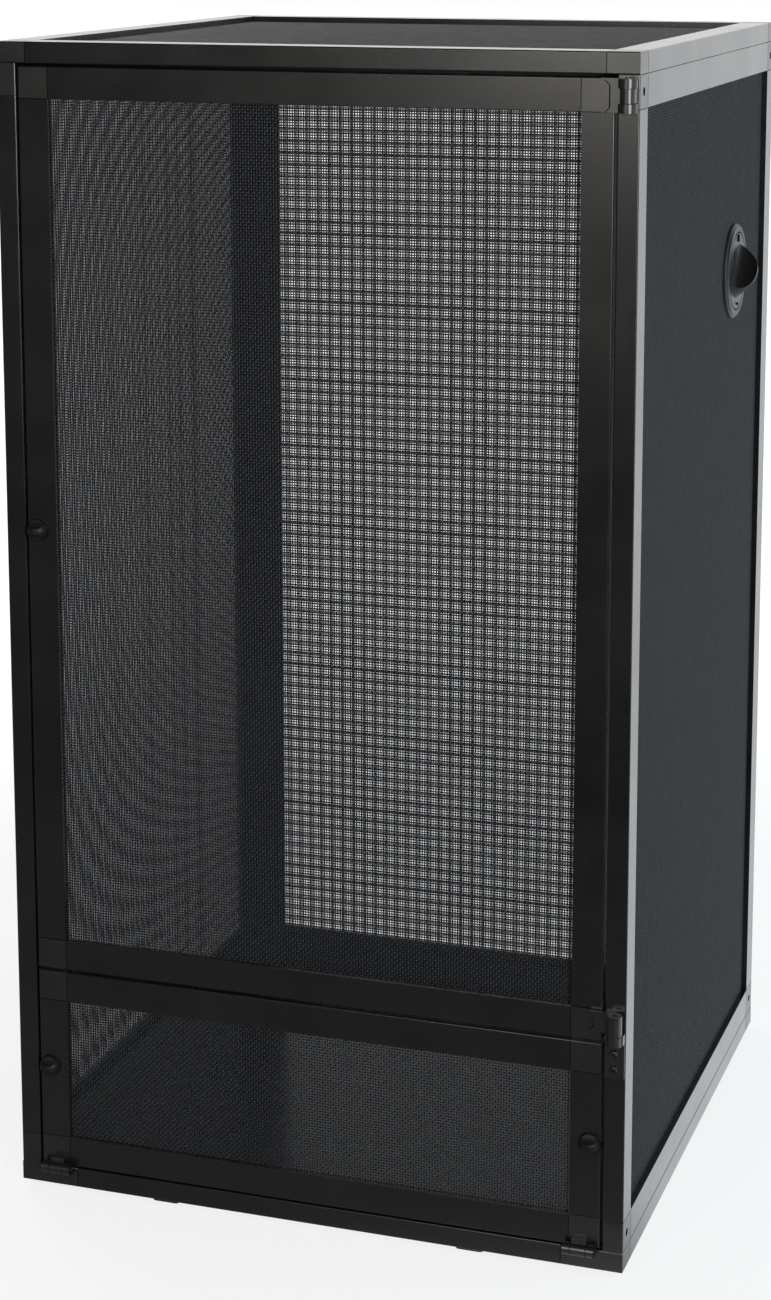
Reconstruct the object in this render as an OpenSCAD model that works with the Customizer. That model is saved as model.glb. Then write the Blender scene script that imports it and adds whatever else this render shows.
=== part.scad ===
/* [Cage] */
// Width of the cage across its front
cage_w = 413; // [360:1:480]
// Depth of the cage from front to back
cage_d = 413; // [360:1:480]
// Height of the cage without its feet
cage_h = 760; // [600:1:900]
// Height of the feet under the base
foot_h = 3; // [2:0.5:6]

/* [Rails] */
// Face width of every frame rail
rail_w = 20; // [19:0.5:24]
// Thickness of every frame rail
rail_t = 13.5; // [12.5:0.5:16]
// Wall of the extruded rails
rail_wall = 1.2; // [1:0.1:1.5]
// Width of the groove that takes the spline
groove_w = 4.8; // [4.4:0.1:5.2]
// Depth of the lip that carries the mesh, behind the outer face
lip_h = 4; // [3.5:0.1:5]
// Rounding of the rails' outer edges
edge_r = 1; // [0.4:0.1:1.1]
// Reach of the corner pieces' tenons into the hollow rails
tenon_l = 25; // [15:1:35]

/* [Mesh] */
// Spacing of the drawn net, coarser than the real screen
mesh_cell = 36; // [34:1:60]
// Width of the drawn net's strands
strand_w = 2; // [1:0.5:4]
// Thickness of the mesh
mesh_t = 0.5; // [0.4:0.1:0.8]
// Thickness of the floor panel
floor_t = 3; // [2:0.5:5]

/* [Doors] */
// Height of the lower door
flap_h = 136; // [110:1:200]
// Gap between a door and the side panels
side_gap = 1.5; // [1:0.1:2.5]
// Gap between the upper door and the lid
top_gap = 1.7; // [1:0.1:3]
// Gap between the two doors
door_gap = 2; // [1:0.1:3]
// Gap between the lower door and the base
base_gap = 1; // [0.8:0.1:2]

/* [Hinges] */
// Distance of the upper door's axis from the side of the cage
hinge_inset = 5.8; // [5.5:0.1:6.5]
// Radius of the knuckles at the ends of the upper door's top hinge
knuckle_r = 5.7; // [5:0.1:6]
// Radius of the middle knuckle and of the lower pivot
pivot_r = 4.6; // [4:0.1:4.8]
// Radius of the lower door's knuckles
flap_knuckle_r = 4; // [3.5:0.1:5]
// Diameter of the hinge pins
pin_d = 3; // [2:0.1:3.4]

/* [Latches] */
// Diameter of a latch knob
knob_d = 14.4; // [12:0.1:15]
// Height of a latch knob above the door
knob_h = 7; // [6:0.1:9]
// Distance of a latch from the edge of its door
latch_inset = 7; // [6.5:0.1:7.5]
// Height of the upper door's latch as a share of the door's height
latch_share = 0.5; // [0.3:0.01:0.7]
// Height of the lower door's latches as a share of that door's height
flap_latch_share = 0.51; // [0.4:0.01:0.6]
// Diameter of a latch shaft
shaft_d = 6; // [5:0.1:6.4]
// Reach of a latch cam from its shaft
cam_l = 13.5; // [12.5:0.1:15]

/* [Port] */
// Outer diameter of the port flange
port_d = 65; // [60:1:75]
// Diameter of the cap's rim
cap_d = 53; // [51:0.5:54]
// Diameter of the opening behind the cap
port_bore_d = 47; // [44:0.5:48]
// Distance of the port behind the middle of the cage as a share of the depth
port_depth_share = 0.225; // [-0.3:0.005:0.3]
// Height of the port above the base as a share of the cage's height
port_height_share = 0.782; // [0.15:0.002:0.85]
// Diameter of the grip on the cap
grip_d = 38; // [34:0.5:40]
// Height of the grip on the cap
grip_h = 14; // [11:0.5:16]

/* [Hidden] */
$fn = 48;

// Colours
rail_colour = "#2b2b2a";
corner_colour = "#343433";
mesh_colour = "#1a1b1d";
rubber_colour = "#151515";
floor_colour = "#1d1d1e";
knob_colour = "#232323";
port_colour = "#4a4b4c";
steel_colour = "#7d7d7b";

// Clearances
cut = 1;
fit = 0.2;
seat = 0.05;
seam = 0.2;
hinge_gap = 0.35;

// Rail section
tube_w = rail_w - groove_w - rail_wall;
skirt_h = lip_h - 2 * rail_wall;
net_edge = rail_w - rail_wall - seat - mesh_t;

// Levels and widths of the panels
top_z = foot_h + cage_h;
panel_z0 = foot_h + rail_t;
panel_z1 = top_z - rail_t;
panel_h = panel_z1 - panel_z0;
back_w = cage_w - 2 * rail_t - 2 * fit;
door_w = cage_w - 2 * rail_t - 2 * side_gap;
flap_z0 = panel_z0 + base_gap;
flap_z1 = flap_z0 + flap_h;
door_z0 = flap_z1 + door_gap;
door_z1 = panel_z1 - top_gap;
door_h = door_z1 - door_z0;
front_y = -cage_d / 2;

// Pegs and screws that join the lid and the base to the panels
peg_d = 6;
peg_l = 14;
peg_x = cage_w / 2 - rail_t / 2;
peg_y = cage_d / 2 - rail_w / 2;
back_peg_d = 4;
back_peg_l = 10;
back_peg_inset = 3;
back_peg_x = back_w / 2 - back_peg_inset;
back_peg_y = cage_d / 2 - rail_t / 2;
screw_d = 2.8;
screw_head_d = 4.8;
screw_head_h = 1.8;
screw_recess = 3;
screw_l = 7;

// Feet
foot_l = 18;
foot_w = 12;
foot_r = 2;
foot_share = 0.254;
side_foot_share = 0.2736;
foot_x = foot_share * cage_w;
side_foot_y = -side_foot_share * cage_d;
foot_edge = rail_w / 2;

// Upper door hinge
hinge_x = cage_w / 2 - hinge_inset;
hinge_y = front_y - knuckle_r - hinge_gap;
end_knuckle_h = 5.5;
mid_knuckle_h = rail_w - 2 * end_knuckle_h - 2 * hinge_gap;
mid_knuckle_z = door_z1 - rail_w + end_knuckle_h + hinge_gap;
leaf_t = 3.5;
leaf_lap = 4.5;
leaf_flare = 3;
leaf_groove_w = 0.8;
leaf_groove_t = 1.2;
leaf_end_gap = 0.5;
leaf_x0 = door_w / 2 - leaf_lap;
pin_over = 0.8;
pivot_rise = 7.2;
pivot_z = door_z0 + pivot_rise;

// Bracket under the upper door's pivot
bracket_h = 6.4;
bracket_t = 1.6;
bracket_margin = 0.5;
bracket_w = rail_t - 2 * bracket_margin;
bracket_z1 = pivot_z - hinge_gap;
bracket_screw_drop = 7.5;
bracket_screw_pitch = 10;
bracket_screw_z = bracket_z1 - bracket_h - bracket_screw_drop;
bracket_screws_z = [bracket_screw_z, bracket_screw_z - bracket_screw_pitch];
bracket_plate_l = 29.7;
bracket_head_d = 5.5;
bracket_head_h = 2.2;
bracket_screw_d = 2.9;
bracket_screw_l = 8;

// Lower door hinge
flap_hinge_y = front_y - flap_knuckle_r - hinge_gap;
flap_hinge_z = panel_z0 + base_gap / 2;
flap_end_l = 5;
flap_mid_l = 9.5;
flap_hinge_inset = 2.3;
flap_hinge_x = door_w / 2 - flap_hinge_inset;
flap_leaf_h = 7;
flap_hinge_l = 2 * flap_end_l + flap_mid_l + 2 * hinge_gap;
base_arm = 20;

// Latches
latch_x = door_w / 2 - latch_inset;
latch_z = door_z0 + latch_share * door_h;
flap_latch_z = flap_z0 + flap_latch_share * flap_h;
knob_gap = 0.3;
knob_base_share = 0.26;
fin_share = 0.2;
scoop_r = 7;
tang_w = 4;
cam_t = 3;
cam_w = 7.5;
cam_clear = 0.4;
cam_y = front_y + tube_w + cam_clear;
latch_screw_d = 2;
latch_screw_l = 8;
latch_head_d = 5;
latch_head_h = 1.5;

// Port
port_x = cage_w / 2;
port_y = port_depth_share * cage_d;
port_z = foot_h + port_height_share * cage_h;
flange_edge = 1.8;
rim_t = 2.2;
rim_gap = 0.3;
ring_t = 3;
lug_t = 2;
lug_gap = 0.4;
lug_w = 9;
lug_reach = 2.5;
lug_angle = 60;
port_screw_d = 2;
port_screw_l = 5;
port_head_d = 4.4;
port_head_h = 1.8;
port_screw_circle = (port_d + cap_d) / 2;
grip_tilt = 42;
grip_fin_share = 0.06;
grip_scoop_r = 12;
mark_l = 5;
mark_w = 1.4;
mark_h = 0.6;
mark_d = 2;
mark_place = (cap_d + grip_d) / 4;

// Flat outline with its two edges at zero rounded
module rounded_edge(width, thickness) {
    translate([edge_r, 0]) square([width - edge_r, thickness]);
    translate([0, edge_r]) square([edge_r, thickness - 2 * edge_r]);
    translate([edge_r, edge_r]) circle(edge_r);
    translate([edge_r, thickness - edge_r]) circle(edge_r);
}

// Section of a rail: a hollow tube, the spline groove beside it and the lip that carries the mesh
module rail_section() {
    difference() {
        union() {
            rounded_edge(tube_w, rail_t);
            translate([tube_w - rail_wall, 0]) square([rail_w - tube_w + rail_wall, rail_wall]);
            translate([rail_w - rail_wall, 0]) square([rail_wall, lip_h]);
        }
        translate([rail_wall, rail_wall]) square([tube_w - 2 * rail_wall, rail_t - 2 * rail_wall]);
    }
}

// A shape drawn flat, run along the first axis with its width along the second
module run(length) {
    rotate([90, 0, 90]) linear_extrude(length) children();
}

module swap_axes() {
    mirror([1, -1, 0]) children();
}

// Panel rails along the first axis, with more room left beside the long-armed corners
module rails_along(width, height, first_arm = 0) {
    first_end = rail_w + seam + first_arm;
    second_end = rail_w + seam;
    translate([first_end, 0, 0]) run(width - 2 * first_end) rail_section();
    translate([second_end, height, 0]) mirror([0, 1, 0]) run(width - 2 * second_end) rail_section();
}

module rails_across(width, height) {
    swap_axes() rails_along(height, width);
}

// Corner piece at the zero corner, with tenons for both rails
module corner(arm = 0) {
    reach = rail_w + arm;
    groove = rail_w - tube_w;
    inset = rail_wall + fit;
    tenon_w = tube_w - 2 * inset;
    tenon_t = rail_t - 2 * inset;
    difference() {
        intersection() {
            run(reach) rounded_edge(rail_w, rail_t);
            swap_axes() run(rail_w) rounded_edge(reach, rail_t);
        }
        translate([tube_w, tube_w, rail_wall]) cube([arm + groove + cut, groove + cut, rail_t]);
    }
    translate([rail_w - rail_wall, rail_w - rail_wall, 0]) cube([arm + rail_wall, rail_wall, lip_h]);
    translate([tube_w, inset, inset]) cube([arm + groove + tenon_l, tenon_w, tenon_t]);
    swap_axes() translate([tube_w, inset, inset]) cube([groove + tenon_l, tenon_w, tenon_t]);
}

module corners(width, height, first_arm = 0) {
    for (side = [0, 1]) translate([side * width, 0, 0]) mirror([side, 0, 0]) {
        corner(first_arm);
        translate([0, height, 0]) mirror([0, 1, 0]) corner();
    }
}

// Net of one panel, turned down into the groove all round
module net(width, height) {
    columns = round((width - 2 * rail_w) / mesh_cell);
    rows = round((height - 2 * rail_w) / mesh_cell);
    step_x = (width - 2 * rail_w) / columns;
    step_y = (height - 2 * rail_w) / rows;
    translate([0, 0, lip_h]) linear_extrude(mesh_t) difference() {
        translate([net_edge, net_edge]) square([width - 2 * net_edge, height - 2 * net_edge]);
        for (column = [0:columns - 1], row = [0:rows - 1])
            translate([rail_w + column * step_x + strand_w / 2, rail_w + row * step_y + strand_w / 2])
                square([step_x - strand_w, step_y - strand_w]);
    }
    translate([0, 0, lip_h - skirt_h]) linear_extrude(skirt_h + mesh_t) difference() {
        translate([net_edge, net_edge]) square([width - 2 * net_edge, height - 2 * net_edge]);
        translate([net_edge + mesh_t, net_edge + mesh_t])
            square([width - 2 * net_edge - 2 * mesh_t, height - 2 * net_edge - 2 * mesh_t]);
    }
}

// Rubber spline pressed into the groove on top of the mesh's edge
module spline(width, height) {
    outer = tube_w + seat;
    inner = net_edge - seat;
    translate([0, 0, rail_wall]) linear_extrude(lip_h - rail_wall) difference() {
        translate([outer, outer]) square([width - 2 * outer, height - 2 * outer]);
        translate([inner, inner]) square([width - 2 * inner, height - 2 * inner]);
    }
}

// Places of the panels, each drawn with its outer face on the ground plane
module on_lid() {
    translate([-cage_w / 2, cage_d / 2, top_z]) rotate([180, 0, 0]) children();
}

module on_base() {
    translate([-cage_w / 2, -cage_d / 2, foot_h]) children();
}

module on_left() {
    translate([-cage_w / 2, front_y, panel_z1]) rotate([0, 90, 0]) children();
}

module on_right() {
    translate([cage_w / 2, front_y, panel_z0]) rotate([0, -90, 0]) children();
}

module on_back() {
    translate([-back_w / 2, cage_d / 2, panel_z0]) rotate([90, 0, 0]) children();
}

module on_upper_door() {
    translate([-door_w / 2, front_y, door_z1]) rotate([-90, 0, 0]) children();
}

module on_lower_door() {
    translate([-door_w / 2, front_y, flap_z1]) rotate([-90, 0, 0]) children();
}

// A round piece along the first or the second axis
module along_x(diameter, length) {
    rotate([0, 90, 0]) cylinder(d = diameter, h = length);
}

module along_y(diameter, length) {
    rotate([-90, 0, 0]) cylinder(d = diameter, h = length);
}

// Pegs of the lid, pointing down from the panels' top edge, or with more room the holes for them
module panel_pegs(room) {
    for (x = [-peg_x, peg_x], y = [-peg_y, peg_y])
        translate([x, y, -peg_l - room]) cylinder(d = peg_d + 2 * room, h = peg_l + room + cut);
}

module back_pegs(room) {
    for (x = [-back_peg_x, back_peg_x])
        translate([x, back_peg_y, -back_peg_l - room])
            cylinder(d = back_peg_d + 2 * room, h = back_peg_l + room + cut);
}

module at_lid_and_base() {
    translate([0, 0, panel_z1]) children();
    translate([0, 0, panel_z0]) mirror([0, 0, 1]) children();
}

// Each screw place on the outer faces of the side panels, looking in
module at_panel_screws() {
    for (side = [0, 1], y = [-peg_y, peg_y], z = [panel_z0 + rail_w / 2, panel_z1 - rail_w / 2])
        mirror([side, 0, 0]) translate([cage_w / 2, y, z]) rotate([0, -90, 0]) children();
}

module panel_screw_holes() {
    at_panel_screws() {
        translate([0, 0, -cut]) cylinder(d = screw_head_d + 2 * fit, h = screw_recess + cut);
        cylinder(d = screw_d + 2 * fit, h = rail_t);
    }
}

module pegs_with_screw_holes() {
    difference() {
        at_lid_and_base() {
            panel_pegs(0);
            back_pegs(0);
        }
        at_panel_screws() cylinder(d = screw_d + 2 * seat, h = rail_t);
    }
}

module lid_rails() {
    color(rail_colour) on_lid() rails_along(cage_w, cage_d);
}

module lid_side_rails() {
    color(rail_colour) on_lid() rails_across(cage_w, cage_d);
}

module lid_corners() {
    color(corner_colour) {
        on_lid() corners(cage_w, cage_d);
        intersection() {
            pegs_with_screw_holes();
            translate([-cage_w / 2, -cage_d / 2, top_z / 2]) cube([cage_w, cage_d, top_z / 2 - rail_wall]);
        }
    }
}

module lid_mesh() {
    color(mesh_colour) on_lid() net(cage_w, cage_d);
}

module lid_spline() {
    color(rubber_colour) on_lid() spline(cage_w, cage_d);
}

module base_rails() {
    color(rail_colour) on_base() rails_along(cage_w, cage_d, base_arm);
}

module base_side_rails() {
    color(rail_colour) on_base() rails_across(cage_w, cage_d);
}

// Knuckle of the lower door's hinges, hanging below the axis on the base or standing above it on the door
module flap_knuckle(x, length, rise) {
    translate([x, flap_hinge_y, flap_hinge_z]) along_x(2 * flap_knuckle_r, length);
    translate([x, flap_hinge_y, flap_hinge_z + min(rise, 0)])
        cube([length, front_y - flap_hinge_y + edge_r, abs(rise)]);
}

module both_sides() {
    for (side = [0, 1]) mirror([side, 0, 0]) children();
}

module flap_pin_bores() {
    both_sides() translate([flap_hinge_x - flap_hinge_l - cut, flap_hinge_y, flap_hinge_z])
        along_x(pin_d + 2 * seat, flap_hinge_l + 2 * cut);
}

module base_corners() {
    color(corner_colour) difference() {
        union() {
            on_base() corners(cage_w, cage_d, base_arm);
            intersection() {
                pegs_with_screw_holes();
                translate([-cage_w / 2, -cage_d / 2, foot_h + rail_wall]) cube([cage_w, cage_d, top_z / 2]);
            }
            both_sides() for (x = [flap_hinge_x - flap_hinge_l, flap_hinge_x - flap_end_l])
                flap_knuckle(x, flap_end_l, -flap_knuckle_r);
        }
        flap_pin_bores();
    }
}

module floor_panel() {
    edge = tube_w + fit;
    color(floor_colour) on_base() translate([edge, edge, lip_h])
        cube([cage_w - 2 * edge, cage_d - 2 * edge, floor_t]);
}

// One foot, its length along the first axis
module foot() {
    linear_extrude(foot_h) {
        square([foot_l - 2 * foot_r, foot_w], center = true);
        square([foot_l, foot_w - 2 * foot_r], center = true);
        for (x = [-1, 1], y = [-1, 1])
            translate([x * (foot_l / 2 - foot_r), y * (foot_w / 2 - foot_r)]) circle(foot_r);
    }
}

module feet() {
    color(rubber_colour) {
        for (x = [-foot_x, foot_x], y = [-1, 1]) translate([x, y * (cage_d / 2 - foot_edge), 0]) foot();
        for (side = [-1, 1]) translate([side * (cage_w / 2 - foot_edge), side_foot_y, 0]) rotate(90) foot();
    }
}

module left_stiles() {
    color(rail_colour) on_left() rails_along(panel_h, cage_d);
}

module left_rails() {
    color(rail_colour) on_left() rails_across(panel_h, cage_d);
}

module left_corners() {
    color(corner_colour) difference() {
        on_left() corners(panel_h, cage_d);
        at_lid_and_base() panel_pegs(fit);
        panel_screw_holes();
    }
}

module left_mesh() {
    color(mesh_colour) on_left() net(panel_h, cage_d);
}

module left_spline() {
    color(rubber_colour) on_left() spline(panel_h, cage_d);
}

module at_bracket_screws() {
    for (z = bracket_screws_z) translate([peg_x, front_y - bracket_t, z]) children();
}

module right_stiles() {
    color(rail_colour) difference() {
        on_right() rails_along(panel_h, cage_d);
        at_bracket_screws() along_y(bracket_screw_d + 2 * seat, bracket_screw_l);
    }
}

module right_rails() {
    color(rail_colour) on_right() rails_across(panel_h, cage_d);
}

// Bore along the upper door's hinge axis
module door_pin_bore() {
    translate([hinge_x, hinge_y, panel_z0]) cylinder(d = pin_d + 2 * seat, h = panel_h);
}

module right_corners() {
    color(corner_colour) difference() {
        union() {
            on_right() corners(panel_h, cage_d);
            translate([hinge_x, hinge_y, mid_knuckle_z]) cylinder(r = pivot_r, h = mid_knuckle_h);
            translate([hinge_x - pivot_r, hinge_y, mid_knuckle_z])
                cube([2 * pivot_r, front_y - hinge_y + edge_r, mid_knuckle_h]);
        }
        at_lid_and_base() panel_pegs(fit);
        panel_screw_holes();
        door_pin_bore();
    }
}

// The port's axis, with the outer face of the panel at zero and the inside of the cage ahead
module at_port() {
    translate([port_x, port_y, port_z]) rotate([0, -90, 0]) children();
}

module right_mesh() {
    color(mesh_colour) difference() {
        union() {
            on_right() net(panel_h, cage_d);
            at_port() translate([0, 0, lip_h]) cylinder(d = port_d, h = mesh_t);
        }
        at_port() {
            cylinder(d = port_bore_d + 2 * lug_reach + 2 * fit, h = rail_t);
            at_port_screws() cylinder(d = port_screw_d + 2 * fit, h = rail_t);
        }
    }
}

module right_spline() {
    color(rubber_colour) on_right() spline(panel_h, cage_d);
}

module back_stiles() {
    color(rail_colour) on_back() rails_across(back_w, panel_h);
}

module back_rails() {
    color(rail_colour) on_back() rails_along(back_w, panel_h);
}

module back_corners() {
    color(corner_colour) difference() {
        on_back() corners(back_w, panel_h);
        at_lid_and_base() back_pegs(fit);
    }
}

module back_mesh() {
    color(mesh_colour) on_back() net(back_w, panel_h);
}

module back_spline() {
    color(rubber_colour) on_back() spline(back_w, panel_h);
}

// Screws sunk in the side panels, one through each peg
module panel_screws() {
    color(steel_colour) at_panel_screws() {
        translate([0, 0, screw_recess - screw_head_h]) cylinder(d = screw_head_d, h = screw_head_h);
        translate([0, 0, screw_recess]) cylinder(d = screw_d, h = screw_l);
    }
}

// Bores for the latch shafts, through both walls of the stiles
module latch_bore(x, z) {
    translate([x, front_y - cut, z]) along_y(shaft_d + 2 * seat, rail_t + 2 * cut);
}

// One side of a pair: everything left or right of the middle
module only_side(side) {
    intersection() {
        children();
        translate([(side - 1) * cage_w / 2, -cage_d, 0]) cube([cage_w / 2, cage_d, top_z]);
    }
}

module upper_door_hinge_stile() {
    color(rail_colour) only_side(1) on_upper_door() rails_across(door_w, door_h);
}

module upper_door_latch_stile() {
    color(rail_colour) difference() {
        only_side(0) on_upper_door() rails_across(door_w, door_h);
        latch_bore(-latch_x, latch_z);
    }
}

module upper_door_rails() {
    color(rail_colour) on_upper_door() rails_along(door_w, door_h);
}

// Outline of a hinge leaf, flared at both ends of its free edge
module leaf_outline(height, end_x) {
    polygon([
        [leaf_x0 - leaf_flare, 0], [end_x, 0], [end_x, height],
        [leaf_x0 - leaf_flare, height], [leaf_x0, height - leaf_flare], [leaf_x0, leaf_flare]
    ]);
}

// Leaf that reaches from the door's corner piece over the side panel to the hinge
module hinge_leaf(z, height, end_x) {
    translate([0, front_y - hinge_gap, z]) rotate([90, 0, 0]) linear_extrude(leaf_t) leaf_outline(height, end_x);
    translate([0, front_y + edge_r, z]) rotate([90, 0, 0])
        linear_extrude(leaf_t + edge_r) leaf_outline(height, door_w / 2);
}

// Groove in the door's corner piece along the free edge of a leaf
module leaf_groove(z, height) {
    x0 = leaf_x0;
    x1 = leaf_x0 - leaf_groove_w;
    translate([0, front_y + leaf_groove_t, z]) rotate([90, 0, 0]) linear_extrude(leaf_groove_t + leaf_t) polygon([
        [x1 - leaf_flare, 0], [x0 - leaf_flare, 0], [x0, leaf_flare], [x0, height - leaf_flare],
        [x0 - leaf_flare, height], [x1 - leaf_flare, height], [x1, height - leaf_flare], [x1, leaf_flare]
    ]);
}

module upper_door_corners() {
    top_hinge_z = door_z1 - rail_w;
    color(corner_colour) difference() {
        union() {
            on_upper_door() corners(door_w, door_h);
            hinge_leaf(top_hinge_z, rail_w, hinge_x - pivot_r - leaf_end_gap);
            for (z = [top_hinge_z, door_z1 - end_knuckle_h]) {
                translate([door_w / 2, front_y - hinge_gap - leaf_t, z])
                    cube([hinge_x - door_w / 2, leaf_t, end_knuckle_h]);
                translate([hinge_x, hinge_y, z]) cylinder(r = knuckle_r, h = end_knuckle_h);
            }
            hinge_leaf(pivot_z, rail_w - pivot_rise, hinge_x);
            translate([hinge_x, hinge_y, pivot_z]) cylinder(r = pivot_r, h = rail_w - pivot_rise);
        }
        leaf_groove(top_hinge_z, rail_w);
        leaf_groove(pivot_z, rail_w - pivot_rise);
        door_pin_bore();
    }
}

module upper_door_mesh() {
    color(mesh_colour) on_upper_door() net(door_w, door_h);
}

module upper_door_spline() {
    color(rubber_colour) on_upper_door() spline(door_w, door_h);
}

module lower_door_stiles() {
    color(rail_colour) difference() {
        on_lower_door() rails_across(door_w, flap_h);
        for (x = [-latch_x, latch_x]) latch_bore(x, flap_latch_z);
    }
}

module lower_door_rails() {
    color(rail_colour) on_lower_door() rails_along(door_w, flap_h);
}

module lower_door_corners() {
    color(corner_colour) difference() {
        union() {
            on_lower_door() corners(door_w, flap_h);
            both_sides()
                flap_knuckle(flap_hinge_x - flap_end_l - hinge_gap - flap_mid_l, flap_mid_l, flap_leaf_h);
        }
        flap_pin_bores();
    }
}

module lower_door_mesh() {
    color(mesh_colour) on_lower_door() net(door_w, flap_h);
}

module lower_door_spline() {
    color(rubber_colour) on_lower_door() spline(door_w, flap_h);
}

module upper_hinge_pin() {
    color(steel_colour) translate([hinge_x, hinge_y, door_z1 - rail_w - pin_over])
        cylinder(d = pin_d, h = rail_w + 2 * pin_over);
}

module lower_hinge_pin() {
    low = bracket_z1 - bracket_h;
    color(steel_colour) translate([hinge_x, hinge_y, low])
        cylinder(d = pin_d, h = door_z0 + rail_w - low - pin_over);
}

// Bracket on the right side panel that carries the upper door's pivot
module hinge_bracket() {
    block_z = bracket_z1 - bracket_h;
    plate_x = cage_w / 2 - rail_t + bracket_margin;
    color(corner_colour) difference() {
        union() {
            translate([plate_x, front_y - bracket_t, bracket_z1 - bracket_plate_l])
                cube([bracket_w, bracket_t, bracket_plate_l]);
            translate([hinge_x - pivot_r, hinge_y, block_z])
                cube([cage_w / 2 - bracket_margin - hinge_x + pivot_r, front_y - hinge_y, bracket_h]);
            translate([hinge_x, hinge_y, block_z]) cylinder(r = pivot_r, h = bracket_h);
        }
        door_pin_bore();
        at_bracket_screws() translate([0, -cut, 0]) along_y(bracket_screw_d + 2 * fit, bracket_t + 2 * cut);
    }
}

module bracket_screws() {
    color(steel_colour) at_bracket_screws() {
        translate([0, -bracket_head_h, 0]) along_y(bracket_head_d, bracket_head_h);
        along_y(bracket_screw_d, bracket_screw_l);
    }
}

module flap_hinge_pins() {
    color(steel_colour) both_sides()
        translate([flap_hinge_x - flap_hinge_l - pin_over, flap_hinge_y, flap_hinge_z])
            along_x(pin_d, flap_hinge_l + 2 * pin_over);
}

// Dome with two scoops that leave a fin along the first axis, standing up the third
module scooped_dome(diameter, height, base_share, fin_thickness, radius) {
    ball_r = (diameter * diameter / 4 + height * height) / (2 * height);
    base = base_share * height;
    difference() {
        intersection() {
            translate([0, 0, height - ball_r]) sphere(ball_r);
            cylinder(d = diameter, h = height);
        }
        for (side = [-1, 1]) translate([-diameter, side * (fin_thickness / 2 + radius), base + radius])
            along_x(2 * radius, 2 * diameter);
    }
}

module at_latch(x, z) {
    translate([x, front_y, z]) rotate([90, 0, 0]) children();
}

// Knob with its shaft and the square tang for the cam; the fin lies level
module latch_knob(x, z) {
    shaft_l = cam_y - front_y + knob_gap;
    fin_t = fin_share * knob_d;
    color(knob_colour) at_latch(x, z) difference() {
        union() {
            translate([0, 0, knob_gap]) scooped_dome(knob_d, knob_h, knob_base_share, fin_t, scoop_r);
            translate([0, 0, knob_gap - shaft_l]) cylinder(d = shaft_d, h = shaft_l + edge_r);
            translate([-tang_w / 2, -tang_w / 2, knob_gap - shaft_l - cam_t])
                cube([tang_w, tang_w, cam_t + edge_r]);
        }
        translate([0, 0, knob_gap - shaft_l - cam_t - cut])
            cylinder(d = latch_screw_d + 2 * seat, h = latch_screw_l + cut + fit);
    }
}

// Cam behind the door, hanging down while the latch is open
module latch_cam(x, z) {
    hole = tang_w + 2 * seat;
    color(knob_colour) translate([x, cam_y, z]) rotate([-90, 0, 0]) difference() {
        union() {
            cylinder(d = cam_w, h = cam_t);
            translate([-cam_w / 2, 0, 0]) cube([cam_w, cam_l - cam_w / 2, cam_t]);
            translate([0, cam_l - cam_w / 2, 0]) cylinder(d = cam_w, h = cam_t);
        }
        translate([-hole / 2, -hole / 2, -cut]) cube([hole, hole, cam_t + 2 * cut]);
    }
}

module latch_screw(x, z) {
    color(steel_colour) translate([x, cam_y + cam_t, z]) {
        along_y(latch_head_d, latch_head_h);
        translate([0, -latch_screw_l, 0]) along_y(latch_screw_d, latch_screw_l);
    }
}

module upper_latch_knob() {
    latch_knob(-latch_x, latch_z);
}

module upper_latch_cam() {
    latch_cam(-latch_x, latch_z);
}

module upper_latch_screw() {
    latch_screw(-latch_x, latch_z);
}

module left_latch_knob() {
    latch_knob(-latch_x, flap_latch_z);
}

module left_latch_cam() {
    latch_cam(-latch_x, flap_latch_z);
}

module left_latch_screw() {
    latch_screw(-latch_x, flap_latch_z);
}

module right_latch_knob() {
    latch_knob(latch_x, flap_latch_z);
}

module right_latch_cam() {
    latch_cam(latch_x, flap_latch_z);
}

module right_latch_screw() {
    latch_screw(latch_x, flap_latch_z);
}

module at_port_screws() {
    for (turn = [45:90:315]) rotate(turn) translate([port_screw_circle / 2, 0, 0]) children();
}

// Ways through the flange and the ring for the cap's two lugs
module lug_ways() {
    reach = port_bore_d + 2 * lug_reach + 2 * fit;
    rotate(lug_angle) translate([-reach / 2, -lug_w / 2 - fit, 0]) cube([reach, lug_w + 2 * fit, rail_t]);
}

module port_flange() {
    color(port_colour) at_port() difference() {
        union() {
            cylinder(d1 = port_d - 2 * flange_edge, d2 = port_d, h = flange_edge);
            translate([0, 0, flange_edge]) cylinder(d = port_d, h = lip_h - flange_edge);
        }
        translate([0, 0, -cut]) cylinder(d = cap_d + 2 * rim_gap, h = rim_t + rim_gap + cut);
        cylinder(d = port_bore_d, h = rail_t);
        translate([0, 0, rim_t]) lug_ways();
        translate([0, 0, lip_h + mesh_t + ring_t - port_screw_l])
            at_port_screws() cylinder(d = port_screw_d + 2 * seat, h = rail_t);
    }
}

// Ring inside the cage that clamps the mesh against the flange
module port_ring() {
    color(port_colour) at_port() difference() {
        translate([0, 0, lip_h + mesh_t]) cylinder(d = port_d, h = ring_t);
        cylinder(d = port_bore_d, h = rail_t);
        lug_ways();
        at_port_screws() cylinder(d = port_screw_d + 2 * fit, h = rail_t);
    }
}

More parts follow.
